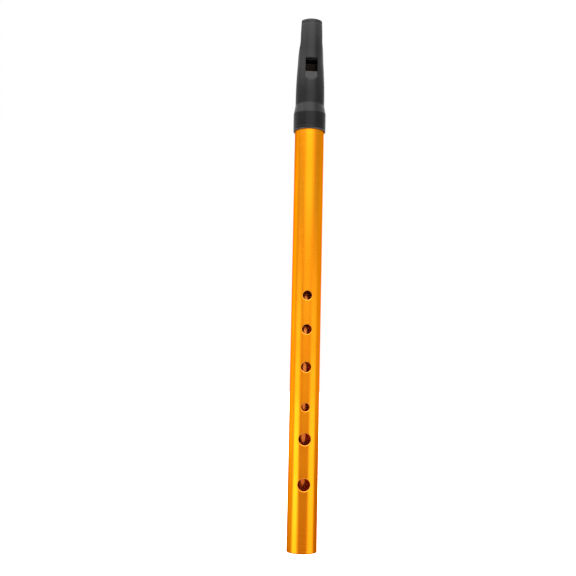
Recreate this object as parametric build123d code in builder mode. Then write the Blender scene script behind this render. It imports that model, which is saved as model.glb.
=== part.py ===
"""Six-hole tin whistle: a straight metal tube with a push-on moulded head.

Millimetres. The origin is the centre of the tube's foot, +Z runs up the tube's axis towards
the mouthpiece, and the window and the tone holes face -Y.
"""
import os
from math import radians, tan

from build123d import *

# ---- Tube: standard 16 x 1 mm round tube ----
tube_radius = 8.0
tube_wall = 1.0
tube_bore_radius = tube_radius - tube_wall
tube_length = 235.5
tube_end_break = 0.25

# Tone holes from the foot upwards: height of the centre, diameter
tone_holes = [(35.1, 6.6), (58.5, 6.5), (75.1, 4.4), (96.1, 5.4), (116.1, 5.2), (134.2, 5.0)]
tone_hole_break = 0.2

# ---- Joint between tube and head ----
socket_radius = 8.10
socket_depth = 12.0
tuning_gap = 2.0  # the head is drawn out this far from its stop
seal_seat_bottom = 227.5
seal_seat_length = 6.0
seal_seat_radius = 7.60
seal_radial_play = 0.04
seal_end_play = 0.05
seal_outer_radius = socket_radius - seal_radial_play

# ---- Head: outside ----
collar_bottom = tube_length + tuning_gap - socket_depth
collar_radius = 8.95
shoulder_start = 235.3
neck_height = 240.2
neck_radius = 8.03
waist_height = 250.0
waist_radius = 7.97
flank_points = [(7.54, 259.3), (6.96, 268.6), (6.72, 279.0)]
tip_height = 288.6
tip_radius = 6.62
shoulder_blend = 4.0
rim_round = 0.45
rim_break = 0.25
tip_round = 0.35

# ---- Beak underside: distance from the axis (towards the back) and height ----
underside_tip = (-2.95, 289.6)
underside_heel = (-2.42, 278.5)
underside_points = [(-1.55, 275.2), (2.35, 268.2), (5.0, 261.0)]
underside_end = (8.6, 245.0)
underside_end_slope = (0.12, -1.0)
underside_round = 0.3

# ---- Head: inside ----
chamber_bottom = collar_bottom + socket_depth
chamber_top = 265.5
chamber_low_radius = 6.95
chamber_taper = 2.0  # degrees
beak_wall = 1.5  # along Y, between the underside and the hollow
block_top = 276.0
block_play = 0.03

# ---- Window, blade and windway ----
window_width = 6.65
blade_height = 258.6
blade_depth = 5.5  # distance of the sounding edge from the axis
blade_underside = 5.25
ramp_angle = 24.0
roof_at_window = 5.80
roof_at_tip = 5.22
floor_at_window = 4.70
floor_at_tip = 4.05
windway_chamfer = 0.35

over = 5.0  # how far a cutting shape runs past the solid


def chamber_radius(height):
    """Radius of the head's conical hollow at a height."""
    return chamber_low_radius - (height - chamber_bottom) * tan(radians(chamber_taper))


def along_windway(at_window, at_tip, height):
    """Y of a plane through the windway, from its distances at the window and at the tip."""
    part_way = (height - chamber_top) / (tip_height - chamber_top)
    return -(at_window + (at_tip - at_window) * part_way)


def behind_underside(wall):
    """The space behind the beak's underside, or behind a surface a wall further forward."""
    tip, heel, end = [Vector(y - wall, z) for y, z in (underside_tip, underside_heel, underside_end)]
    bend = [Vector(y - wall, z) for y, z in underside_points]
    far = collar_radius + over
    with BuildPart() as space:
        with BuildSketch(Plane.YZ):
            with BuildLine():
                flat = Line(tip, heel)
                Spline(heel, *bend, end, tangents=[flat % 1, underside_end_slope])
                Polyline(end, (far, end.Y), (far, tip.Y), tip)
            make_face()
        extrude(amount=far, both=True)
    return space.part


def tapered_hollow(bottom, top, play):
    """The head's hollow between two heights, with an even play all round."""
    low, high = [chamber_radius(z) - play for z in (bottom, top)]
    with BuildPart() as hollow:
        with BuildSketch(Plane.XZ):
            Polygon((0, bottom), (low, bottom), (high, top), (0, top), align=None)
        revolve(axis=Axis.Z)
        add(behind_underside(beak_wall + play), mode=Mode.SUBTRACT)
    return hollow.part


def side_cut(*outline):
    """A window-wide bar whose side view is the outline, given as (Y, Z) points."""
    with BuildPart() as bar:
        with BuildSketch(Plane.YZ):
            Polygon(*outline, align=None)
        extrude(amount=window_width / 2, both=True)
    return bar.part


def ahead_of(distance_low, low, distance_high, high):
    """All the space in front of a plane that leans from one distance to another."""
    far = -collar_radius - over
    with BuildPart() as space:
        with BuildSketch(Plane.YZ):
            Polygon((-distance_low, low), (-distance_high, high), (far, high), (far, low), align=None)
        extrude(amount=-far, both=True)
    return space.part


os.makedirs("parts", exist_ok=True)
above_floor = ahead_of(floor_at_window, chamber_top, floor_at_tip, tip_height)

# ---- Body tube: bored, chamfered, drilled, with a shallow seat for the seal ----
with BuildPart() as body_tube:
    with BuildSketch(Plane.XY):
        Circle(tube_radius)
        Circle(tube_bore_radius, mode=Mode.SUBTRACT)
    extrude(amount=tube_length)
    chamfer(body_tube.edges().filter_by(GeomType.CIRCLE), tube_end_break)
    with BuildSketch(Plane.XY.offset(seal_seat_bottom)):
        Circle(tube_radius + over)
        Circle(seal_seat_radius, mode=Mode.SUBTRACT)
    extrude(amount=seal_seat_length, mode=Mode.SUBTRACT)
    for hole_height, hole_diameter in tone_holes:
        with BuildSketch(Plane.XZ):
            with Locations((0, hole_height)):
                Circle(hole_diameter / 2)
        extrude(amount=tube_radius + over, mode=Mode.SUBTRACT)
    for hole_height, hole_diameter in tone_holes:
        rims = body_tube.edges().filter_by(GeomType.BSPLINE).filter_by_position(
            Axis.Z, hole_height - hole_diameter, hole_height + hole_diameter
        )
        chamfer(rims.sort_by(Axis.Y)[0], tone_hole_break)
body_tube.part.label = "body_tube"
export_step(body_tube.part, "parts/body_tube.step")

# ---- Seal: a thin captive band that fills the gap between tube and socket ----
with BuildPart() as seal_band:
    with BuildSketch(Plane.XY.offset(seal_seat_bottom + seal_end_play)):
        Circle(seal_outer_radius)
        Circle(seal_seat_radius + seal_radial_play, mode=Mode.SUBTRACT)
    extrude(amount=seal_seat_length - 2 * seal_end_play)
seal_band.part.label = "seal_band"
export_step(seal_band.part, "parts/seal_band.step")

# ---- Head shell: collar, shoulder, beak, chamber, window, blade and windway roof ----
with BuildPart() as head_shell:
    with BuildSketch(Plane.XZ) as outline:
        with BuildLine():
            Polyline((0, collar_bottom), (collar_radius, collar_bottom), (collar_radius, shoulder_start))
            Line((collar_radius, shoulder_start), (neck_radius, neck_height))
            neck = Line((neck_radius, neck_height), (waist_radius, waist_height))
            Spline(neck @ 1, *flank_points, (tip_radius, tip_height), tangents=[neck % 1, (-0.01, 1)])
            Polyline((tip_radius, tip_height), (0, tip_height), (0, collar_bottom))
        make_face()
        corners = outline.vertices().filter_by_position(Axis.Y, shoulder_start, neck_height)
        fillet(corners.filter_by_position(Axis.X, neck_radius, collar_radius), shoulder_blend)
    revolve(axis=Axis.Z)
    add(behind_underside(0), mode=Mode.SUBTRACT)
    beak_edges = head_shell.edges().filter_by_position(Axis.Z, waist_height, tip_height)
    flanks = beak_edges.filter_by(GeomType.BSPLINE)
    fillet([edge for edge in flanks if abs(edge.center().X) > tip_round], underside_round)
    fillet(head_shell.faces().sort_by(Axis.Z)[-1].edges(), tip_round)
    fillet(head_shell.edges().filter_by(GeomType.CIRCLE).sort_by(Axis.Z)[0], rim_round)
    with BuildSketch(Plane.XY.offset(collar_bottom)):
        Circle(socket_radius)
    extrude(amount=socket_depth, mode=Mode.SUBTRACT)
    socket_mouth = head_shell.faces().sort_by(Axis.Z)[0].edges().sort_by(SortBy.LENGTH)[0]
    chamfer(socket_mouth, rim_break)
    under_blade = ahead_of(chamber_low_radius, chamber_bottom, blade_underside, blade_height)
    add(tapered_hollow(chamber_bottom, block_top, 0) - under_blade - above_floor, mode=Mode.SUBTRACT)
    windway = side_cut(
        (along_windway(roof_at_window, roof_at_tip, chamber_top + windway_chamfer), chamber_top + windway_chamfer),
        (-roof_at_window - windway_chamfer, chamber_top),
        (-floor_at_window, chamber_top),
        (along_windway(floor_at_window, floor_at_tip, tip_height + over), tip_height + over),
        (along_windway(roof_at_window, roof_at_tip, tip_height + over), tip_height + over),
    )
    add(windway, mode=Mode.SUBTRACT)
    window = side_cut(
        (-collar_radius - over, blade_height),
        (0, blade_height),
        (0, chamber_top),
        (-collar_radius - over, chamber_top),
    )
    add(window, mode=Mode.SUBTRACT)
    ramp_reach = collar_radius + over - blade_depth
    ramp = side_cut(
        (-blade_depth, blade_height),
        (-blade_depth - ramp_reach, blade_height - ramp_reach / tan(radians(ramp_angle))),
        (-blade_depth - ramp_reach, blade_height),
    )
    add(ramp, mode=Mode.SUBTRACT)
head_shell.part.label = "head_shell"
export_step(head_shell.part, "parts/head_shell.step")

# ---- Windway block: closes the hollow above the window and makes the windway's floor ----
with BuildPart() as windway_block:
    add(tapered_hollow(chamber_top, block_top, block_play) - above_floor)
    exit_edge = windway_block.faces().sort_by(Axis.Z)[0].edges().sort_by(Axis.Y)[0]
    chamfer(exit_edge, windway_chamfer)
windway_block.part.label = "windway_block"
export_step(windway_block.part, "parts/windway_block.step")
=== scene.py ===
"""Looks of a six-hole tin whistle: an anodised metal tube and a moulded black mouthpiece.

The classes hold their sizes in millimetres. Their meshes are made in metres, in the frame's own
axes: +Z runs up the tube, and the window and the tone holes face -Y.
"""
import logging
from dataclasses import dataclass
from enum import Enum
from math import asin, atan2, cos, pi, radians, sin, sqrt, tan
from typing import Any, Iterable, Sequence

import bmesh
import bpy
from mathutils import Euler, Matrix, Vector


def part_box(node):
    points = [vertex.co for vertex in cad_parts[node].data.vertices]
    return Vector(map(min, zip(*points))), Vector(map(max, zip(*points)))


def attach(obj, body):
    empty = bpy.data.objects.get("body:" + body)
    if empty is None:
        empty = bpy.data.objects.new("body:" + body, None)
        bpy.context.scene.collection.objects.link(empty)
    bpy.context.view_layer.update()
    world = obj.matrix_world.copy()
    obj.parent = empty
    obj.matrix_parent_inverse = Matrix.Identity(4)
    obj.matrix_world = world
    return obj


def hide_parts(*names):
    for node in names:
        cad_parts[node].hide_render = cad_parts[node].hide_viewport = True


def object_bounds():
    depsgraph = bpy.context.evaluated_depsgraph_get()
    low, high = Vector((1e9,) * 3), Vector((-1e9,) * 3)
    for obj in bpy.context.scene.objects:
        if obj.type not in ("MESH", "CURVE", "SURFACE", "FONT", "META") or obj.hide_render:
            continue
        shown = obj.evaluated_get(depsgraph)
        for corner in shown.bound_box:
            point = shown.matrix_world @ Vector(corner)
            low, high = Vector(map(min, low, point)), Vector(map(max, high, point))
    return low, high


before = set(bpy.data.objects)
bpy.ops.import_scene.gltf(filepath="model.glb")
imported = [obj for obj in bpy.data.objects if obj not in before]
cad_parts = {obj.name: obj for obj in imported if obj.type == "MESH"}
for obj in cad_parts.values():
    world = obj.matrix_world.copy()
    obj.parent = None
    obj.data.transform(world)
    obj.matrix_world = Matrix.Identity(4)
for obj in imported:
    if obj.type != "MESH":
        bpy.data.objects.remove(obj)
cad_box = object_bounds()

MM = 0.001
WELD = 0.0004 * MM
CREASE = radians(38.0)
LOG = logging.getLogger("whistle")

Point = tuple[float, float, float]
Flat = tuple[float, float]
Colour = tuple[float, float, float, float]

WHITE: Colour = (1.0, 1.0, 1.0, 1.0)


class Slot(Enum):
    """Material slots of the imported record."""

    TUBE = "anodised_tube"
    SEAL = "seal"
    HEAD = "head_plastic"
    BLOCK = "block_plastic"


class Body(Enum):
    """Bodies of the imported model."""

    TUBE = "tube"
    SEAL = "seal"
    HEAD = "head"


# ---------------------------------------------------------------- shader expressions


class Value:
    """A shader socket that takes part in arithmetic, one Math node for each operator."""

    def __init__(self, graph: "Graph", socket: bpy.types.NodeSocket) -> None:
        """Wraps a socket.

        Args:
            graph: the node tree that the socket belongs to.
            socket: an output socket.
        """
        self.graph = graph
        self.socket = socket

    def math(self, operation: str, *others: "Value | float") -> "Value":
        """Adds a Math node on this value.

        Args:
            operation: the Math node's operation.
            others: its other operands.

        Returns:
            The node's result.
        """
        operands = dict(enumerate((self, *others)))
        return self.graph.add("ShaderNodeMath", {"operation": operation}, operands)

    def sibling(self, output: int | str) -> "Value":
        """Another output of the same node."""
        return Value(self.graph, self.socket.node.outputs[output])

    def __add__(self, other: "Value | float") -> "Value":
        """self + other."""
        return self.math("ADD", other)

    def __radd__(self, other: float) -> "Value":
        """other + self."""
        return self.math("ADD", other)

    def __sub__(self, other: "Value | float") -> "Value":
        """self - other."""
        return self.math("SUBTRACT", other)

    def __rsub__(self, other: float) -> "Value":
        """other - self."""
        return (self * -1.0) + other

    def __mul__(self, other: "Value | float") -> "Value":
        """self * other."""
        return self.math("MULTIPLY", other)

    def __rmul__(self, other: float) -> "Value":
        """other * self."""
        return self.math("MULTIPLY", other)

    def __abs__(self) -> "Value":
        """Size of the value."""
        return self.math("ABSOLUTE")

    def below(self, other: "Value | float") -> "Value":
        """The lesser of two values."""
        return self.math("MINIMUM", other)

    def above(self, other: "Value | float") -> "Value":
        """The greater of two values."""
        return self.math("MAXIMUM", other)

    def rise(self, start: float, end: float) -> "Value":
        """A soft step.

        Args:
            start: where the step leaves 0.
            end: where it reaches 1, which may be below start for a falling step.

        Returns:
            A value from 0 to 1.
        """
        ends = {"Value": self, "From Min": start, "From Max": end}
        return self.graph.add("ShaderNodeMapRange", {"interpolation_type": "SMOOTHSTEP"}, ends)

    def band(self, start: float, end: float, soft: float) -> "Value":
        """A mask of 1 between two values, with soft sides.

        Args:
            start: middle of the rising side.
            end: middle of the falling side.
            soft: half width of each side.

        Returns:
            A value from 0 to 1.
        """
        return self.rise(start - soft, start + soft) * self.rise(end + soft, end - soft)


class Graph:
    """A node tree under construction."""

    def __init__(self, owner: bpy.types.Material | bpy.types.World) -> None:
        """Starts on an empty tree.

        Args:
            owner: the material or the world that the tree belongs to.
        """
        owner.use_nodes = True
        self.owner = owner
        self.tree = owner.node_tree
        self.tree.nodes.clear()

    def add(
        self,
        kind: str,
        settings: dict[str, Any] | None = None,
        inputs: dict[int | str, Any] | None = None,
        output: int | str = 0,
    ) -> Value:
        """Adds any node.

        Args:
            kind: the node's type.
            settings: its settings, set before its sockets.
            inputs: values or links of its sockets, by name or place.
            output: the output that is wanted.

        Returns:
            That output.
        """
        node = self.tree.nodes.new(kind)
        for name, setting in (settings or {}).items():
            setattr(node, name, setting)
        for name, given in (inputs or {}).items():
            if isinstance(given, Value):
                self.tree.links.new(given.socket, node.inputs[name])
            else:
                node.inputs[name].default_value = given
        return Value(self, node.outputs[output]) if node.outputs else None

    def mix(self, factor: Value | float, first: Any, second: Any) -> Value:
        """A colour between two others.

        Args:
            factor: 0 for the first colour, 1 for the second.
            first: a colour or a link.
            second: a colour or a link.

        Returns:
            The mixed colour.
        """
        sockets = {0: factor, 6: first, 7: second}
        return self.add("ShaderNodeMix", {"data_type": "RGBA"}, sockets, output=2)

    def place(self) -> Value:
        """Where the point is on its piece, in metres."""
        return self.add("ShaderNodeTexCoord", output="Object")

    def axes(self, place: Value) -> tuple[Value, Value, Value]:
        """The three coordinates of a vector."""
        x = self.add("ShaderNodeSeparateXYZ", inputs={0: place})
        return x, x.sibling(1), x.sibling(2)

    def noise(self, place: Value, scale: Point, detail: float = 2.0) -> Value:
        """Cloudy noise.

        Args:
            place: the point.
            scale: cycles in a metre along each axis.
            detail: octaves of finer noise.

        Returns:
            A value about 0.5.
        """
        stretched = self.add("ShaderNodeVectorMath", {"operation": "MULTIPLY"}, {0: place, 1: scale})
        return self.add("ShaderNodeTexNoise", inputs={"Vector": stretched, "Scale": 1.0, "Detail": detail})

    def bump(self, height: Value, depth: float, strength: float = 1.0) -> Value:
        """A normal that follows a height.

        Args:
            height: height of the surface, 0 to 1.
            depth: size of a height of 1, in metres.
            strength: how much of it shows.

        Returns:
            The normal.
        """
        sockets = {"Height": height, "Distance": depth, "Strength": strength}
        return self.add("ShaderNodeBump", inputs=sockets)

    def surface(self, sockets: dict[str, Any]) -> bpy.types.Material:
        """Closes a material's tree with a Principled shader.

        Args:
            sockets: values or links of the shader's sockets, by name.

        Returns:
            The material.
        """
        shader = self.add("ShaderNodeBsdfPrincipled", inputs=sockets)
        self.add("ShaderNodeOutputMaterial", inputs={"Surface": shader})
        return self.owner


# ---------------------------------------------------------------- finishes


@dataclass(frozen=True)
class AnodisedFinish:
    """Dyed, satin anodised aluminium: turned lines, blotches, worn hole rims, a dull bore and a painted
    dark shade line along the foot.
    """

    dye: Colour = (0.87, 0.305, 0.008, 1.0)
    deep_dye: Colour = (0.84, 0.265, 0.006, 1.0)
    edge_dye: Colour = (0.72, 0.36, 0.06, 1.0)
    # colour of the painted shade line along the foot
    foot_shade_colour: Colour = (0.20, 0.025, 0.002, 1.0)
    bore_dye: Colour = (0.90, 0.27, 0.06, 1.0)
    bare: Colour = (0.95, 0.50, 0.11, 1.0)
    roughness: float = 0.25
    bore_radius: float = 7.3
    rim_width: float = 0.34
    handled_reach: float = 7.0
    # height up to which the painted shade line along the foot reaches, in millimetres
    foot_shade_height: float = 0.50
    rub_width: float = 2.4
    blotches: Point = (45.0, 45.0, 22.0)
    turned_lines: Point = (60.0, 60.0, 3600.0)

    def material(self, holes: Sequence[Flat], rub_height: float) -> bpy.types.Material:
        """Makes the finish for a tube.

        Args:
            holes: height and radius of each tone hole, in millimetres.
            rub_height: height up to which the mouthpiece's rim has rubbed, in millimetres.

        Returns:
            The material.
        """
        graph = Graph(bpy.data.materials.new("anodised_gold"))
        place = graph.place()
        x, y, z = graph.axes(place)
        radius = (x * x + y * y).math("SQRT")
        bore = radius.rise(self.bore_radius * MM, (self.bore_radius - 0.1) * MM)
        front = y.rise(0.0, -1.0 * MM)
        gap = None
        for height, hole_radius in holes:
            rise = z - height * MM
            edge = (x * x + rise * rise).math("SQRT") - hole_radius * MM
            gap = edge if gap is None else gap.below(edge)
        rim = gap.rise(self.rim_width * MM, 0.12 * MM) * front * (1.0 - bore)
        handled = gap.rise(self.handled_reach * MM, 1.0 * MM) * front
        clouds = graph.noise(place, self.blotches)
        lines = graph.noise(place, self.turned_lines, 3.0)
        rubbed = z.band((rub_height - self.rub_width) * MM, rub_height * MM, 0.5 * MM)
        rub = rubbed * lines.rise(0.50, 0.62)
        colour = graph.mix(clouds.rise(0.35, 0.65), self.dye, self.deep_dye)
        colour = graph.mix((rub * 0.08).above(rim * 0.3), colour, self.bare)
        # Painted shade: a dark line along the foot's lowest half millimetre, standing in for the contact
        # shadow where the tube meets the table.
        colour = graph.mix(z.rise(self.foot_shade_height * MM, 0.15 * MM) * 0.8, colour, self.foot_shade_colour)
        colour = graph.mix(bore, colour, self.bore_dye)
        rough = self.roughness + (clouds - 0.5) * 0.10 + (lines - 0.5) * 0.08 - handled * 0.03
        return graph.surface({
            "Base Color": colour,
            "Metallic": 1.0 - bore * 0.17,
            "Roughness": rough + rub * 0.03 + rim * 0.2 - bore * 0.10,
            "Specular Tint": self.edge_dye,
            "Normal": graph.bump(lines, 0.004 * MM, 0.18),
        })


@dataclass(frozen=True)
class MouldedFinish:
    """Black moulded plastic: fine skin, soft gloss, a parting line, pale worn ends and a tone that grows
    lighter towards the tip.
    """

    shade: Colour = (0.0022, 0.0023, 0.0024, 1.0)
    dusty: Colour = (0.0038, 0.0039, 0.0040, 1.0)
    worn: Colour = (0.040, 0.040, 0.041, 1.0)
    gloss: float = 0.23
    glint: float = 0.18
    grain: float = 0.06
    # length of the beak, below the tip, over which the colour grows lighter towards the tip
    tip_lighten_length: float = 18.0
    rim_wear: Flat = (0.9, 0.2)
    tip_wear: Flat = (0.9, 0.1)
    flanks: Flat = (5.0, 6.0)
    seam: Flat = (0.07, 0.01)
    dust: Point = (70.0, 70.0, 50.0)
    skin: Point = (2600.0, 2600.0, 2600.0)
    scratches: Point = (900.0, 900.0, 90.0)

    def material(self, low: float, high: float) -> bpy.types.Material:
        """Makes the finish for a moulding.

        Args:
            low: height of its lower rim, in millimetres.
            high: height of its tip, in millimetres.

        Returns:
            The material.
        """
        graph = Graph(bpy.data.materials.new("moulded_black"))
        place = graph.place()
        x, y, z = graph.axes(place)
        clouds = graph.noise(place, self.dust, 3.0)
        skin = graph.noise(place, self.skin)
        scuffs = graph.noise(place, self.scratches, 3.0).rise(0.60, 0.72)
        rim = z.rise(*[(low + gap) * MM for gap in self.rim_wear])
        ends = rim.above(z.rise(*[(high - gap) * MM for gap in self.tip_wear]))
        side = abs(x).rise(*[reach * MM for reach in self.flanks])
        parting = abs(y).rise(*[reach * MM for reach in self.seam]) * side
        wear = (ends * (0.35 + clouds * 0.5)).above(parting * 0.4)
        colour = graph.mix(clouds.rise(0.3, 0.7), self.shade, self.dusty)
        # Lighter towards the tip: over the beak's last 18 mm the colour is lifted up to a quarter of the
        # way to the lighter colour.
        toward_tip = z.rise((high - self.tip_lighten_length) * MM, high * MM)
        colour = graph.mix((wear + scuffs * 0.06).above(toward_tip * 0.25), colour, self.worn)
        height = skin * self.grain + parting * 1.5
        return graph.surface({
            "Base Color": colour,
            "Roughness": self.gloss + (clouds - 0.5) * 0.12 + scuffs * 0.05 + ends * 0.05,
            "Specular IOR Level": self.glint,
            "Normal": graph.bump(height, 0.012 * MM, 0.5),
        })


@dataclass(frozen=True)
class BlockFinish:
    """The windway block's plastic: the head's black, milled flat on its face."""

    shade: Colour = (0.0030, 0.0031, 0.0033, 1.0)
    milled: Colour = (0.0060, 0.0061, 0.0063, 1.0)
    glint: float = 0.15
    cuts: Point = (120.0, 120.0, 5200.0)
    clouds: Point = (150.0, 150.0, 150.0)

    def material(self) -> bpy.types.Material:
        """Makes the finish.

        Returns:
            The material.
        """
        graph = Graph(bpy.data.materials.new("milled_black"))
        place = graph.place()
        cuts = graph.noise(place, self.cuts)
        clouds = graph.noise(place, self.clouds)
        return graph.surface({
            "Base Color": graph.mix(cuts.rise(0.4, 0.65) * clouds, self.shade, self.milled),
            "Roughness": 0.42 + (cuts - 0.5) * 0.2,
            "Specular IOR Level": self.glint,
            "Normal": graph.bump(cuts, 0.01 * MM, 0.5),
        })


@dataclass(frozen=True)
class SealFinish:
    """White sealing tape greyed by grease: lapped turn over turn, stained where the socket slides."""

    tape: Colour = (0.30, 0.29, 0.265, 1.0)
    stained: Colour = (0.14, 0.12, 0.09, 1.0)
    lap: float = 0.9
    fibres: Point = (300.0, 300.0, 4200.0)
    clouds: Point = (260.0, 260.0, 260.0)

    def material(self) -> bpy.types.Material:
        """Makes the finish.

        Returns:
            The material.
        """
        graph = Graph(bpy.data.materials.new("lapped_tape"))
        place = graph.place()
        _, _, z = graph.axes(place)
        turns = (z * (2 * pi / (self.lap * MM))).math("SINE")
        fibres = graph.noise(place, self.fibres, 3.0)
        clouds = graph.noise(place, self.clouds, 3.0)
        stains = turns.rise(0.7, 1.0) * 0.45 + clouds.rise(0.52, 0.75) * 0.35
        return graph.surface({
            "Base Color": graph.mix(stains, self.tape, self.stained),
            "Roughness": 0.46 + (fibres - 0.5) * 0.25,
            "Subsurface Weight": 0.15,
            "Subsurface Radius": (0.001, 0.001, 0.001),
            "Normal": graph.bump(fibres * 0.6 + turns * 0.4, 0.03 * MM, 0.6),
        })


@dataclass(frozen=True)
class TableFinish:
    """The pale studio table."""

    pale: Colour = (0.93, 0.93, 0.93, 1.0)
    paler: Colour = (0.96, 0.96, 0.96, 1.0)
    glow: float = 0.75

    def material(self) -> bpy.types.Material:
        """Makes the finish.

        Returns:
            The material.
        """
        graph = Graph(bpy.data.materials.new("pale_table"))
        clouds = graph.noise(graph.place(), (3.0, 3.0, 3.0))
        return graph.surface({
            "Base Color": graph.mix(clouds, self.pale, self.paler),
            "Roughness": 0.85 + (clouds - 0.5) * 0.1,
            "Emission Color": WHITE,
            "Emission Strength": self.glow,
        })


# ---------------------------------------------------------------- mesh building


class Skin:
    """A mesh collected as sheets of points in millimetres, then welded."""

    def __init__(self, lift: float = 0.0) -> None:
        """Starts empty.

        Args:
            lift: height in the frame of the points' height 0, in millimetres.
        """
        self.bm = bmesh.new()
        self.lift = Vector((0.0, 0.0, lift))

    def vertices(self, points: Iterable[Point]) -> list[bmesh.types.BMVert]:
        """New vertices at these points."""
        return [self.bm.verts.new((Vector(point) + self.lift) * MM) for point in points]

    def sheet(self, rows: Sequence[Sequence[Point]], closed: bool = False) -> None:
        """Lays faces between rows of points.

        Args:
            rows: rows with the same number of points.
            closed: True to join the end of each row to its start.
        """
        grid = [self.vertices(row) for row in rows]
        for low, high in zip(grid, grid[1:]):
            for i in range(len(low) - (not closed)):
                j = (i + 1) % len(low)
                self.bm.faces.new((low[i], low[j], high[j], high[i]))

    def panel(self, outline: Sequence[Point]) -> None:
        """Fills a flat outline with one face."""
        self.bm.faces.new(self.vertices(outline))

    def piece(
        self, name: str, material: bpy.types.Material, body: Body, slot: Slot, node: str
    ) -> bpy.types.Object:
        """Welds the sheets into a piece that stands for a CAD node.

        Args:
            name: the piece's name.
            material: its finish.
            body: the body that it rides on.
            slot: its material slot, which is not used.
            node: the CAD node that it replaces.

        Returns:
            The piece.

        Raises:
            ValueError: if the mesh has an open or crowded edge.
        """
        bm = self.bm
        bmesh.ops.remove_doubles(bm, verts=bm.verts, dist=WELD)
        bmesh.ops.dissolve_degenerate(bm, edges=bm.edges, dist=WELD)
        bmesh.ops.recalc_face_normals(bm, faces=bm.faces)
        loose = [edge for edge in bm.edges if len(edge.link_faces) != 2]
        if loose:
            places = sorted({tuple(round(v / MM, 2) for v in edge.verts[0].co) for edge in loose})
            raise ValueError(f"{name} has {len(loose)} open or crowded edges, at {places[:12]}")
        mesh = bpy.data.meshes.new(name)
        bm.to_mesh(mesh)
        bm.free()
        mesh.shade_smooth()
        mesh.set_sharp_from_angle(angle=CREASE)
        mesh.materials.append(material)
        piece = bpy.data.objects.new(name, mesh)
        bpy.context.scene.collection.objects.link(piece)
        weighted = piece.modifiers.new("weighted_normals", "WEIGHTED_NORMAL")
        weighted.keep_sharp = True
        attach(piece, body.value)
        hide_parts(node)
        return piece


def steps(start: float, end: float, count: int) -> list[float]:
    """Evenly spaced values, both ends among them.

    Args:
        start: the first value.
        end: the last value.
        count: how many spaces lie between them.

    Returns:
        count + 1 values.
    """
    return [start + (end - start) * i / count for i in range(count + 1)]


def around(middle: float, reach: float, count: int) -> list[float]:
    """Evenly spaced values on both sides of a middle value."""
    return steps(middle - reach, middle + reach, count)


def blend(first: Sequence[float], second: Sequence[float], part: float) -> tuple[float, ...]:
    """The point that lies part of the way between two others."""
    return tuple(a + (b - a) * part for a, b in zip(first, second))


def rounded(centre: Flat, radius: float, start: float, end: float, count: int) -> list[Flat]:
    """Points of an arc.

    Args:
        centre: its centre.
        radius: its radius.
        start: its first direction, in degrees.
        end: its last direction, in degrees.
        count: how many spaces it has.

    Returns:
        count + 1 points.
    """
    turns = [radians(turn) for turn in steps(start, end, count)]
    return [(centre[0] + radius * cos(turn), centre[1] + radius * sin(turn)) for turn in turns]


@dataclass(frozen=True)
class Columns:
    """Columns of a round mesh: an even strip across the front, and the rest by angle."""

    half_strip: float
    strip_count: int
    rest_count: int

    def strip(self, radius: float, height: float) -> list[Point]:
        """The strip's points, from left to right."""
        across = steps(-self.half_strip, self.half_strip, self.strip_count)
        return [(x, -sqrt(radius**2 - x**2), height) for x in across]

    def rest(self, radius: float, height: float) -> list[Point]:
        """The other points, from the strip's right edge round the back to its left edge.

        Args:
            radius: the ring's radius.
            height: its height.

        Returns:
            The points.
        """
        edge = asin(self.half_strip / radius)
        turns = steps(edge, 2 * pi - edge, self.rest_count)
        return [(radius * sin(turn), -radius * cos(turn), height) for turn in turns]

    def ring(self, radius: float, height: float) -> list[Point]:
        """All the points of a whole ring."""
        return self.strip(radius, height)[:-1] + self.rest(radius, height)[:-1]


# ---------------------------------------------------------------- the tube


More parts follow.
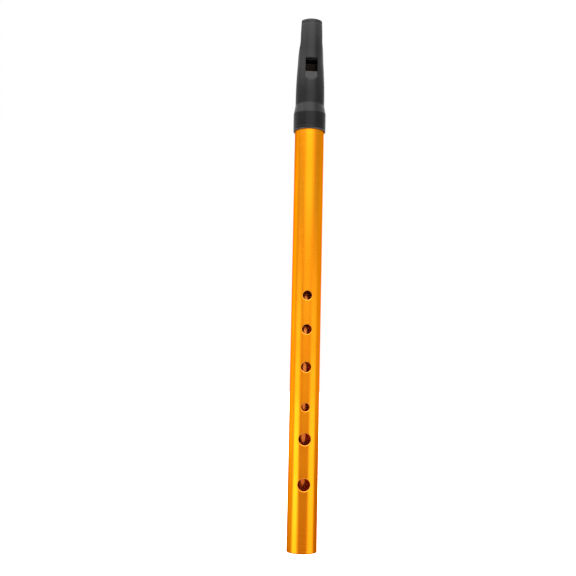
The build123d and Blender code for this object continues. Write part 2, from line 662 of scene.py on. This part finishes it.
@dataclass
class WhistleTube:
    """The straight tube, with its tone holes and the seat for its seal."""

    tone_holes: tuple[Flat, ...] = (
        (35.1, 6.6), (58.5, 6.5), (75.1, 4.4), (96.1, 5.4), (116.1, 5.2), (134.2, 5.0)
    )
    wall: float = 1.0
    end_round: float = 0.25
    rim_round: float = 0.26
    bore_break: float = 0.08
    half_patch: float = 4.4
    seat_radius: float = 7.6
    seat_bottom: float = 227.5
    seat_top: float = 233.5
    seat_bevel: float = 0.1
    columns: Columns = Columns(4.4, 16, 84)
    row_gap: float = 3.0
    ring_parts: tuple[float, ...] = (0.0, 0.3, 0.55, 0.75, 0.9, 1.0)

    def __post_init__(self) -> None:
        """Takes the outside from the frame."""
        low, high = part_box("body_tube")
        self.radius = (high.x - low.x) / 2 / MM
        self.length = high.z / MM
        self.bore = self.radius - self.wall

    def heights(self) -> list[float]:
        """Heights of the rows beside the tone holes and between them.

        Returns:
            The heights, from the foot up.
        """
        patch = self.columns.strip_count
        levels, last = [], self.end_round
        for height, _ in self.tone_holes:
            low, high = height - self.half_patch, height + self.half_patch
            gaps = max(1, round((low - last) / self.row_gap))
            levels += steps(last, low, gaps)[:-1] + steps(low, high, patch)[:-1]
            last = high
        return levels + [last]

    def wall_rows(self, skin: Skin, radius: float) -> None:
        """Lays the tube's outer or inner surface up to the highest hole, leaving out the patches.

        Args:
            skin: the mesh.
            radius: radius of the surface.
        """
        levels = self.heights()
        skin.sheet([self.columns.rest(radius, level) for level in levels])
        for low, high in zip(levels, levels[1:]):
            middle = (low + high) / 2
            if all(abs(middle - height) > self.half_patch for height, _ in self.tone_holes):
                skin.sheet([self.columns.strip(radius, level) for level in (low, high)])

    def circle(self, reach: float) -> list[Flat]:
        """A circle with a point for each point of a patch's square border."""
        count = self.columns.strip_count
        return rounded((0.0, 0.0), reach, -135, 225, 4 * count)[:-1]

    def patch_rings(self, radius: float, height: float, reach: float) -> list[list[Point]]:
        """Rings that blend a square patch of the tube into a round hole.

        Args:
            radius: radius of the tube's surface.
            height: height of the hole's centre.
            reach: radius of the last ring.

        Returns:
            Closed rings, from the square border to the circle.
        """
        side = steps(-self.half_patch, self.half_patch, self.columns.strip_count)
        square = [(x, side[0]) for x in side[:-1]] + [(side[-1], z) for z in side[:-1]]
        square += [(-x, side[-1]) for x in side[:-1]] + [(side[0], -z) for z in side[:-1]]
        rings = []
        for part in self.ring_parts:
            flat = [blend(a, b, part) for a, b in zip(square, self.circle(reach))]
            rings.append([(x, -sqrt(radius**2 - x**2), height + z) for x, z in flat])
        return rings

    def hole(self, skin: Skin, height: float, hole_radius: float) -> None:
        """Lays one tone hole: its patch, its rounded rim, its wall and its bore edge.

        Args:
            skin: the mesh.
            height: height of the hole's centre.
            hole_radius: its radius.
        """
        rings = self.patch_rings(self.radius, height, hole_radius + self.rim_round)

        def ring(reach: float, surface: float, sunk: float) -> list[Point]:
            """A ring of the hole, sunk below a surface of the tube."""
            return [(x, sunk - sqrt(surface**2 - x**2), height + z) for x, z in self.circle(reach)]

        for angle in steps(0, 90, 5)[1:]:
            reach = hole_radius + self.rim_round * (1 - sin(radians(angle)))
            rings.append(ring(reach, self.radius, self.rim_round * (1 - cos(radians(angle)))))
        rings.append(ring(hole_radius, self.bore, -self.bore_break))
        rings.append(ring(hole_radius + self.bore_break, self.bore, 0.0))
        rings += self.patch_rings(self.bore, height, hole_radius + self.bore_break)[-2::-1]
        skin.sheet([points + points[:1] for points in rings])

    def build(self, finish: AnodisedFinish) -> bpy.types.Object:
        """Makes the tube.

        Args:
            finish: its finish.

        Returns:
            The piece.
        """
        skin = Skin()
        for radius in (self.radius, self.bore):
            self.wall_rows(skin, radius)
        for height, diameter in self.tone_holes:
            self.hole(skin, height, diameter / 2)
        levels, turn = self.heights(), self.end_round
        foot = rounded((self.bore + turn, turn), turn, 180, 270, 3)
        foot += rounded((self.radius - turn, turn), turn, 270, 360, 3)
        skin.sheet([self.columns.ring(*spot) for spot in foot], closed=True)
        plain, bevel = round((self.seat_bottom - levels[-1]) / self.row_gap), self.seat_bevel
        outside = [(self.radius, z) for z in steps(levels[-1], self.seat_bottom - bevel, plain)]
        outside += [(self.radius - bevel, self.seat_bottom), (self.seat_radius, self.seat_bottom)]
        outside += [(self.seat_radius, self.seat_top), (self.radius - bevel, self.seat_top)]
        outside += [(self.radius, self.seat_top + bevel)]
        outside += rounded((self.radius - turn, self.length - turn), turn, 0, 90, 3)
        outside += rounded((self.bore + turn, self.length - turn), turn, 90, 180, 3)
        down = round((self.length - turn - levels[-1]) / self.row_gap)
        outside += [(self.bore, z) for z in steps(self.length - turn, levels[-1], down)[1:]]
        skin.sheet([self.columns.ring(*spot) for spot in outside], closed=True)
        holes = [(height, diameter / 2) for height, diameter in self.tone_holes]
        rim_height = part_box("head_shell")[0].z / MM
        material = finish.material(holes, rim_height)
        return skin.piece("whistle_tube", material, Body.TUBE, Slot.TUBE, "body_tube")


@dataclass
class SealBand:
    """The band of sealing tape in the tube's seat: rounded edges and a lap at each turn."""

    inner_radius: float = 7.64
    edge_round: float = 0.12
    lap: float = 0.9
    lap_depth: float = 0.025
    lap_sharpness: int = 8
    row_count: int = 48
    columns: Columns = Columns(2.0, 6, 120)

    def build(self, finish: SealFinish) -> bpy.types.Object:
        """Makes the band.

        Args:
            finish: its finish.

        Returns:
            The piece.
        """
        low, high = (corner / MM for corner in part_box("seal_band"))
        outer, turn = high.x, self.edge_round
        profile = rounded((self.inner_radius + turn, low.z + turn), turn, 180, 270, 3)
        profile += rounded((outer - turn, low.z + turn), turn, 270, 360, 3)
        for z in steps(low.z + turn, high.z - turn, self.row_count)[1:-1]:
            groove = abs(cos(pi * (z - low.z) / self.lap)) ** self.lap_sharpness
            profile.append((outer - self.lap_depth * groove, z))
        profile += rounded((outer - turn, high.z - turn), turn, 0, 90, 3)
        profile += rounded((self.inner_radius + turn, high.z - turn), turn, 90, 180, 3)
        skin = Skin()
        skin.sheet([self.columns.ring(*spot) for spot in profile + profile[:1]], closed=True)
        return skin.piece("seal_tape", finish.material(), Body.SEAL, Slot.SEAL, "seal_band")


# ---------------------------------------------------------------- the mouthpiece


@dataclass(frozen=True)
class Outline:
    """A run of straight lines with eased corners: a distance from the axis at each height."""

    corners: tuple[Point, ...]

    def at(self, height: float) -> float:
        """The distance at a height.

        Args:
            height: height above the mouthpiece's rim.

        Returns:
            The eased distance.
        """
        (z0, d0, _), (z1, d1, _) = self.corners[:2]
        distance = d0 + (height - z0) * (d1 - d0) / (z1 - z0)
        for before, (z, d, ease), after in zip(self.corners, self.corners[1:], self.corners[2:]):
            turn = (after[1] - d) / (after[0] - z) - (d - before[1]) / (z - before[0])
            past = height - z
            distance += turn * (past if past > ease else max(0.0, past + ease) ** 2 / (4 * ease))
        return distance


@dataclass(frozen=True)
class Section:
    """A level cut through the mouthpiece: a circle with a flat back and eased corners."""

    radius: float
    back: float = 99.0
    ease: float = 0.4

    side_columns: int = 26
    corner_columns: int = 6
    back_columns: int = 10
    side_limit: float = radians(68)
    corner_limit: float = radians(76)

    def front(self, x: float) -> float:
        """Y of the circle's front at a place across."""
        return -sqrt(self.radius**2 - x**2)

    def rest(self, starts: Sequence[float]) -> list[Flat]:
        """Points from the right side, round the back, to the left side.

        Args:
            starts: places across of the first points, in order from the front.

        Returns:
            The points, mirrored about the middle of the back.
        """
        centre = (min(self.back, self.radius) - self.radius) / 2
        corner_y, span = self.back - self.ease, self.radius - self.ease
        cut = corner_y < span
        corner_x = sqrt(span**2 - corner_y**2) if cut else 0.0
        meet = self.radius / span
        corner_from = atan2(corner_y * meet - centre, corner_x * meet) if cut else pi / 2
        corner_to = atan2(self.back - centre, corner_x) if cut else pi / 2
        half = [(x, self.front(x)) for x in starts]
        first = atan2(half[-1][1] - centre, half[-1][0])
        low, high = min(self.side_limit, corner_from), min(self.corner_limit, corner_to)
        turns = steps(first, low, self.side_columns)[1:]
        turns += steps(low, high, self.corner_columns)[1:] + steps(high, pi / 2, self.back_columns)[1:]
        for turn in turns:
            across, back = cos(turn), sin(turn)
            if cut and turn > corner_to:
                reach = (self.back - centre) / back
            elif cut and turn > corner_from:
                along = corner_x * across + (corner_y - centre) * back
                reach = along + sqrt(along**2 - corner_x**2 - (corner_y - centre) ** 2 + self.ease**2)
            else:
                reach = sqrt((centre * back) ** 2 - centre**2 + self.radius**2) - centre * back
            half.append((reach * across, centre + reach * back))
        half[-1] = (0.0, half[-1][1])
        return half + [(-x, y) for x, y in half[-2::-1]]


@dataclass
class Beak:
    """Shapes that the mouthpiece and its windway block share. Heights are above the collar's rim."""

    outside: Outline = Outline(
        (
            (0.0, 8.95, 0.0),
            (9.8, 8.95, 0.37),
            (14.7, 8.03, 0.37),
            (24.5, 7.97, 4.6),
            (33.8, 7.54, 4.6),
            (43.1, 6.96, 4.6),
            (53.5, 6.72, 4.6),
            (63.1, 6.62, 0.0),
        )
    )
    underside: Outline = Outline(
        (
            (19.5, 8.6, 0.0),
            (35.5, 5.0, 3.6),
            (42.7, 2.35, 3.4),
            (49.7, -1.55, 1.6),
            (53.0, -2.42, 1.6),
            (64.1, -2.95, 0.0),
        )
    )
    socket_depth: float = 12.0
    cone_radius: float = 6.95
    cone_slope: float = tan(radians(2.0))
    beak_wall: float = 1.5
    window_top: float = 40.0
    block_top: float = 50.5
    roof: Flat = (5.80, 5.22)
    floor: Flat = (4.70, 4.05)
    lead_in: float = 0.35

    def __post_init__(self) -> None:
        """Takes the rim and the tip from the frame."""
        low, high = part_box("head_shell")
        self.rim = low.z / MM
        self.height = (high.z - low.z) / MM

    def cone(self, height: float) -> float:
        """Radius of the hollow."""
        return self.cone_radius - (height - self.socket_depth) * self.cone_slope

    def hollow(self, height: float, play: float = 0.0) -> Section:
        """The hollow's cut at a height, or that of a plug with this play."""
        return Section(self.cone(height) - play, self.underside.at(height) - self.beak_wall - play)

    def depth(self, side: Flat, height: float) -> float:
        """Distance of the windway's roof or floor in front of the axis."""
        return side[0] + (side[1] - side[0]) * (height - self.window_top) / (self.height - self.window_top)


@dataclass
class MouthpieceHead(Beak):
    """The moulded head: socket, collar, shoulder, beak, window, blade and windway."""

    socket_radius: float = 8.10
    rim_round: float = 0.45
    rim_break: float = 0.25
    tip_round: float = 0.35
    half_window: float = 3.325
    blade_height: float = 33.1
    blade_depth: float = 5.5
    blade_underside: float = 5.25
    ramp_slope: float = tan(radians(24.0))
    ramp_reach: float = 9.0
    halvings: int = 40
    edge_round: float = 0.12
    edge_share: float = 0.29
    edge_fade: float = 1.2
    ring_lines: tuple[Flat, ...] = ((1.9, 0.035), (61.0, 0.045))
    ring_half_width: float = 0.3
    corner_ease: Flat = (1.8, 0.35)
    ease_fall: float = 0.16
    ease_from: float = 45.0
    strip_count: int = 20
    wall_count: int = 2

    def __post_init__(self) -> None:
        """Works out where the columns of the mesh start."""
        super().__post_init__()
        self.across = steps(-self.half_window, self.half_window, self.strip_count)
        shelf = sqrt(self.cone(self.window_top) ** 2 - self.floor[0] ** 2)
        round_out = [self.half_window + self.edge_round * part for part in (0.0, self.edge_share, 1.0)]
        self.starts = (*round_out, shelf)
        self.edge_start = self.ramp_start(self.half_window)

    def body(self, height: float, inset: float = 0.0) -> Section:
        """The outer cut at a height.

        Args:
            height: height above the rim.
            inset: how far the surface lies inside the full shape.

        Returns:
            The cut.
        """
        for level, depth in self.ring_lines:
            inset += depth * max(0.0, 1 - abs(height - level) / self.ring_half_width)
        full, least = self.corner_ease
        ease = max(least, min(full, full - self.ease_fall * (height - self.ease_from)))
        return Section(self.outside.at(height) - inset, self.underside.at(height) - inset, ease)

    def ramp(self, height: float) -> float:
        """Y of the blade's ramp."""
        return -self.blade_depth - (self.blade_height - height) * self.ramp_slope

    def ramp_start(self, x: float) -> float:
        """Height at which the ramp leaves the outer surface.

        Args:
            x: place across.

        Returns:
            The height, found by halving.
        """
        low, high = self.blade_height - self.ramp_reach, self.blade_height
        for _ in range(self.halvings):
            middle = (low + high) / 2
            outside = self.body(middle).front(x)
            low, high = (middle, high) if self.ramp(middle) < outside else (low, middle)
        return low

    def lip(self, height: float) -> float:
        """How far the edge of the ramp and the window is rounded in.

        Args:
            height: height above the rim.

        Returns:
            The distance, which fades out at both ends of the edge.
        """
        past = (height - self.window_top) / self.edge_round
        if past > 0:
            return self.edge_round * (1 - sqrt(1 - (1 - min(past, 1.0)) ** 2))
        return self.edge_round * max(0.0, min(1.0, (height - self.edge_start) / self.edge_fade))

    def levels(self) -> dict[str, list[float]]:
        """Heights of the rows in each zone, every zone starting where the last one ends.

        Returns:
            The zones' rows, by name.
        """
        edge, top, turn = self.edge_start, self.window_top, self.edge_round
        (start, _, ease), (neck, _, _), (waist, _, _) = self.outside.corners[1:4]
        low_line, high_line = [around(line, self.ring_half_width, 4) for line, _ in self.ring_lines]
        collar = [self.rim_round, 1.3] + low_line + steps(2.6, start - 0.6, 5)
        slope = steps(start + 1.1, neck - 1.0, 4)
        shoulder = around(start, ease, 2) + slope + around(neck, ease, 2)
        beak = [top, top + self.edge_share * turn, top + turn] + steps(40.9, 59.8, 24)
        return {
            "low": collar + shoulder + steps(16.4, waist, 5),
            "approach": steps(waist, edge, 5),
            "blade": steps(edge, self.blade_height, 6),
            "window": steps(self.blade_height, top, 8),
            "beak": beak + [60.3, *high_line, 62.0],
            "seat": [top, top + self.lead_in] + steps(41.2, self.block_top, 10),
            "exit": steps(self.block_top, self.height, 9),
        }

    def rest(self, section: Section, height: float) -> list[Point]:
        """A row round the outside, from the window's right edge to its left edge.

        Args:
            section: the outer cut.
            height: its height above the rim.

        Returns:
            The row's points.
        """
        row = [[x, y, height] for x, y in section.rest(self.starts)]
        for place, share in ((0, 1.0), (1, self.edge_share)):
            for spot in (place, -1 - place):
                row[spot][1] += self.lip(height) * share
        return [tuple(point) for point in row]

    def strip(self, section: Section, height: float) -> list[Point]:
        """A row across the front, from the left edge to the right edge."""
        return [(x, section.front(x) + self.lip(height), height) for x in self.across]

    def shell(self, skin: Skin) -> None:
        """Lays the socket, the rim, the collar and the outer surface up to the tip's flat.

        Args:
            skin: the mesh.
        """
        zones, turn = self.levels(), self.rim_round
        radius, chamfer = self.outside.at(0.0), self.rim_break
        spots = [(self.cone_radius, self.socket_depth)]
        spots += [(self.socket_radius, z) for z in steps(self.socket_depth, chamfer, 5)]
        spots += rounded((self.socket_radius + chamfer, chamfer), chamfer, 180, 270, 3)[1:]
        spots += rounded((radius - turn, turn), turn, 270, 360, 6)[:-1]
        low = [(Section(r), z) for r, z in spots] + [(self.body(z), z) for z in zones["low"]]
        arc = rounded((self.tip_round, self.height - self.tip_round), self.tip_round, 180, 90, 4)
        beak = [(self.body(z), z) for z in zones["beak"]] + [(self.body(z, inset), z) for inset, z in arc]
        opening = zones["approach"][1:] + zones["blade"][1:] + zones["window"][1:-1]
        rows = low + [(self.body(z), z) for z in opening] + beak
        skin.sheet([self.rest(*row) for row in rows])
        skin.sheet([self.strip(*row) for row in low])
        skin.sheet([self.strip(*row) for row in beak])
        self.tip(skin, *beak[-1])

    def tip(self, skin: Skin, section: Section, height: float) -> None:
        """Lays the flat of the tip round the windway's mouth.

        Args:
            skin: the mesh.
            section: the outer cut at the flat.
            height: the flat's height above the rim.
        """
        roof, floor = -self.depth(self.roof, height), -self.depth(self.floor, height)
        skin.sheet([self.strip(section, height), [(x, roof, height) for x in self.across]])
        left, right = self.wall_line(height, -1.0), self.wall_line(height, 1.0)
        below = [(x, floor, height) for x in self.across[1:-1]]
        skin.panel(self.rest(section, height) + left + below + right[::-1])

    def blade(self, skin: Skin) -> None:
        """Lays the ramp, the surface that leads to it and the thin end of the blade.

        Args:
            skin: the mesh.
        """
        zones = self.levels()
        approach, ramp = [], []
        for x in self.across:
            start = self.ramp_start(x)
            climb = steps(zones["low"][-1], start, len(zones["approach"]) - 1)
            approach.append([(x, self.body(z).front(x), z) for z in climb])
            down = steps(start, self.blade_height, len(zones["blade"]) - 1)
            ramp.append([(x, self.ramp(z), z) for z in down])
        skin.sheet(approach)
        skin.sheet(ramp)
        end = [(x, -self.blade_depth, self.blade_height) for x in self.across]
        skin.sheet([end, self.inner_strip(self.blade_height)])

    def inner_strip(self, height: float) -> list[Point]:
        """A row across the hollow's front, under the blade.

        Args:
            height: height above the rim.

        Returns:
            The row's points.
        """
        part = (height - self.socket_depth) / (self.blade_height - self.socket_depth)
        plane = -(self.cone_radius + (self.blade_underside - self.cone_radius) * part)
        cut = self.hollow(height)
        row = [(x, max(cut.front(x), plane), height) for x in self.across]
        edges = [(x, cut.front(x), height) for x in (self.across[0], self.across[-1])]
        return edges[:1] + row[1:-1] + edges[1:]

    def window(self, skin: Skin) -> None:
        """Lays the side walls of the ramp and the window, and the end of the windway's roof.

        Args:
            skin: the mesh.
        """
        zones, count = self.levels(), self.wall_count
        top = self.window_top
        lead = -self.roof[0] - self.lead_in
        for side in (-1.0, 1.0):
            x = side * self.half_window
            ramp_wall, window_wall = [], []
            for z in zones["blade"]:
                outer, inner = self.body(z).front(x) + self.lip(z), self.ramp(z)
                ramp_wall.append([(x, y, z) for y in steps(outer, inner, count)])
            for z in zones["window"]:
                part = (z - self.blade_height) / (top - self.blade_height)
                outer = self.body(z).front(x) + self.lip(z)
                bend = -self.blade_depth + (lead + self.blade_depth) * part
                row = steps(outer, bend, count) + [self.hollow(z).front(x)]
                window_wall.append([(x, y, z) for y in row])
            skin.sheet(ramp_wall)
            skin.sheet(window_wall)
        cut = self.body(top)
        columns = {x: steps(cut.front(x) + self.lip(top), lead, count) for x in self.across}
        skin.sheet([[(x, y, top) for y in column] for x, column in columns.items()])

    def wall_line(self, height: float, side: float) -> list[Point]:
        """Roof, middle and floor of the windway's side wall.

        Args:
            height: height above the rim.
            side: -1 for the left wall, 1 for the right one.

        Returns:
            The three points.
        """
        x, top = side * self.half_window, self.window_top
        part = (height - top) / (self.height - top)
        start = self.hollow(top).front(x)
        middle = start + (-(self.roof[1] + self.floor[1]) / 2 - start) * part
        roof = self.depth(self.roof, height) if height > top else self.roof[0] + self.lead_in
        return [(x, -roof, height), (x, middle, height), (x, -self.depth(self.floor, height), height)]

    def windway(self, skin: Skin) -> None:
        """Lays the windway's roof, its side walls and the floor beyond the block.

        Args:
            skin: the mesh.
        """
        zones = self.levels()
        heights = zones["seat"] + zones["exit"][1:]
        for side in (-1.0, 1.0):
            skin.sheet([self.wall_line(z, side) for z in heights])
        skin.sheet([[(x, self.wall_line(z, 1.0)[0][1], z) for x in self.across] for z in heights])
        skin.sheet([[(x, -self.depth(self.floor, z), z) for x in self.across] for z in zones["exit"]])

    def seat_row(self, height: float) -> list[Point]:
        """A row round the block's seat, from one edge of the windway to the other.

        Args:
            height: height above the rim.

        Returns:
            The row's points.
        """
        cut, floor = self.hollow(height), self.depth(self.floor, height)
        shelf = sqrt(cut.radius**2 - floor**2)
        first, last = self.starts[0], self.starts[-1]
        starts = [first + (x - first) * (shelf - first) / (last - first) for x in self.starts]
        row, count = cut.rest(starts), len(starts)
        ledge = [(x, -floor) for x in starts]
        row = ledge + row[count:-count] + [(-x, y) for x, y in ledge[::-1]]
        return [(x, y, height) for x, y in row]

    def inside(self, skin: Skin) -> None:
        """Lays the hollow, the ledge under the block, and the block's seat with its closed end.

        Args:
            skin: the mesh.
        """
        zones, count = self.levels(), len(self.starts)
        under = steps(self.socket_depth, self.blade_height, 12)
        rows = []
        for z in under + zones["window"][1:]:
            rows.append([(x, y, z) for x, y in self.hollow(z).rest(self.starts)])
        seat = [self.seat_row(z) for z in zones["seat"]]
        skin.sheet(rows)
        skin.sheet([self.inner_strip(z) for z in under])
        skin.sheet(seat)
        skin.sheet([rows[-1][:count], seat[0][:count]])
        skin.sheet([rows[-1][-count:], seat[0][-count:]])
        floor = -self.depth(self.floor, self.block_top)
        skin.panel(seat[-1] + [(x, floor, self.block_top) for x in self.across[1:-1]])

    def build(self, finish: MouldedFinish) -> bpy.types.Object:
        """Makes the head.

        Args:
            finish: its finish.

        Returns:
            The piece.
        """
        skin = Skin(self.rim)
        self.shell(skin)
        self.blade(skin)
        self.window(skin)
        self.windway(skin)
        self.inside(skin)
        material = finish.material(self.rim, self.rim + self.height)
        return skin.piece("mouthpiece_head", material, Body.HEAD, Slot.HEAD, "head_shell")


@dataclass
class WindwayBlock(Beak):
    """The block that closes the hollow above the window and makes the windway's floor."""

    play: float = 0.03
    edge_round: float = 0.10
    strip_count: int = 18
    row_count: int = 14

    def row(self, height: float, inset: float, sunk: float) -> list[Point]:
        """A closed row round the block.

        Args:
            height: height above the rim.
            inset: how far the row lies inside the full outline.
            sunk: how far its front lies behind the windway's floor.

        Returns:
            The row's points.
        """
        cut = self.hollow(height, self.play + inset)
        front = self.depth(self.floor, height) - sunk - inset
        side = sqrt(cut.radius**2 - front**2)
        across = [(x, -front, height) for x in steps(-side, side, self.strip_count)]
        return across[:-1] + [(x, y, height) for x, y in cut.rest([side])][:-1]

    def build(self, finish: BlockFinish) -> bpy.types.Object:
        """Makes the block.

        Args:
            finish: its finish.

        Returns:
            The piece.
        """
        low, high = self.window_top + self.play, self.block_top - self.play
        turn, slope = self.edge_round, self.lead_in
        rows = [self.row(low, turn, slope - turn), self.row(low + turn, 0.0, slope - turn)]
        rows += [self.row(z, 0.0, 0.0) for z in steps(low + slope, high - turn, self.row_count)]
        rows += [self.row(high, turn, 0.0)]
        skin = Skin(self.rim)
        skin.sheet(rows, closed=True)
        skin.panel(rows[0])
        skin.panel(rows[-1])
        return skin.piece("windway_plug", finish.material(), Body.HEAD, Slot.BLOCK, "windway_block")


# ---------------------------------------------------------------- studio


@dataclass(frozen=True)
class SoftBox:
    """A soft panel of light, placed in degrees round the object and above its horizon."""

    sides: Flat
    side_soft: float
    heights: Flat
    height_soft: float
    strength: float

    def glow(self, turn: Value, rise: Value) -> Value:
        """Its light in a direction.

        Args:
            turn: degrees from the front, positive to the right.
            rise: degrees above the horizon.

        Returns:
            Its strength there.
        """
        across = turn.band(*self.sides, self.side_soft)
        return across * rise.band(*self.heights, self.height_soft) * self.strength


@dataclass
class Studio:
    """Camera, pale table and soft surrounding light."""

    camera_place: Point = (-35.16, -448.83, 89.30)
    camera_turn: Point = (96.267, -1.219, -3.339)
    lens: float = 52.21
    sensor: float = 36.0
    table_half: float = 6000.0
    room: float = 0.36
    warm: Colour = (1.45, 1.0, 0.7, 1.0)
    warm_levels: Flat = (1.1, 0.4)
    warm_heights: Flat = (12.0, -2.0)
    boxes: tuple[SoftBox, ...] = (
        SoftBox((-86.0, -42.0), 10.0, (-95.0, 5.0), 7.0, 2.25),
        SoftBox((37.0, 86.0), 10.0, (-95.0, 6.0), 8.0, 1.65),
        SoftBox((-32.0, 34.0), 18.0, (3.0, 95.0), 16.0, 1.32),
        SoftBox((-235.0, -97.0), 12.0, (-8.0, 17.0), 6.0, 1.10),
        SoftBox((92.0, 235.0), 12.0, (-4.0, 18.0), 2.5, 0.60),
        SoftBox((-110.0, -46.0), 14.0, (10.0, 60.0), 6.0, 0.26),
        SoftBox((34.0, 95.0), 12.0, (8.0, 60.0), 6.0, 0.16),
        SoftBox((-92.0, 30.0), 22.0, (23.0, 95.0), 3.0, 2.20),
        SoftBox((-400.0, 400.0), 1.0, (24.0, 95.0), 3.0, 1.40),
        SoftBox((-400.0, 400.0), 1.0, (-95.0, -26.0), 8.0, 0.50),
        SoftBox((143.0, 166.0), 8.0, (-95.0, 50.0), 8.0, 1.30),
    )

    def camera(self) -> None:
        """Sets up the camera."""
        data = bpy.data.cameras.new("studio_camera")
        data.lens, data.sensor_width = self.lens, self.sensor
        data.clip_start, data.clip_end = 0.01, 100.0
        camera = bpy.data.objects.new("studio_camera", data)
        camera.location = Vector(self.camera_place) * MM
        camera.rotation_euler = Euler([radians(turn) for turn in self.camera_turn])
        bpy.context.scene.collection.objects.link(camera)
        bpy.context.scene.camera = camera

    def table(self, finish: TableFinish) -> None:
        """Lays the pale table under the foot.

        Args:
            finish: its finish.
        """
        half, level = self.table_half * MM, cad_box[0].z
        mesh = bpy.data.meshes.new("table")
        corners = [(x, y, level) for x, y in ((-half, -half), (half, -half), (half, half), (-half, half))]
        mesh.from_pydata(corners, [], [(0, 1, 2, 3)])
        mesh.materials.append(finish.material())
        table = bpy.data.objects.new("table", mesh)
        table.visible_glossy = False
        bpy.context.scene.collection.objects.link(table)

    def light(self) -> None:
        """Surrounds the object with soft boxes in a dim room: warm in its gaps, white to the camera."""
        world = bpy.data.worlds.new("studio")
        bpy.context.scene.world = world
        graph = Graph(world)
        x, y, z = graph.axes(graph.add("ShaderNodeTexCoord", output="Generated"))
        turn = x.math("ARCTAN2", y * -1.0) * (180 / pi)
        rise = z.math("ARCSINE") * (180 / pi)
        level = self.room
        for box in self.boxes:
            level = box.glow(turn, rise) + level
        camera_ray = graph.add("ShaderNodeLightPath", output="Is Camera Ray")
        strength = camera_ray.above(level)
        gaps = level.rise(*self.warm_levels) * rise.rise(*self.warm_heights) * (1.0 - camera_ray)
        colour = graph.mix(gaps, WHITE, self.warm)
        glow = graph.add("ShaderNodeBackground", inputs={"Color": colour, "Strength": strength})
        graph.add("ShaderNodeOutputWorld", inputs={"Surface": glow})
        bpy.context.scene.view_settings.view_transform = "Standard"

    def build(self) -> None:
        """Makes the whole studio."""
        self.camera()
        self.table(TableFinish())
        self.light()


def main() -> None:
    """Builds the pieces in order and reports each one."""
    logging.basicConfig(level=logging.INFO, format="%(name)s: %(message)s")
    pieces = (
        (WhistleTube(), AnodisedFinish()),
        (SealBand(), SealFinish()),
        (MouthpieceHead(), MouldedFinish()),
        (WindwayBlock(), BlockFinish()),
    )
    for maker, finish in pieces:
        piece = maker.build(finish)
        LOG.info("%s: %d faces", piece.name, len(piece.data.polygons))
    Studio().build()
    LOG.info("studio ready")


if __name__ == "__main__":
    main()
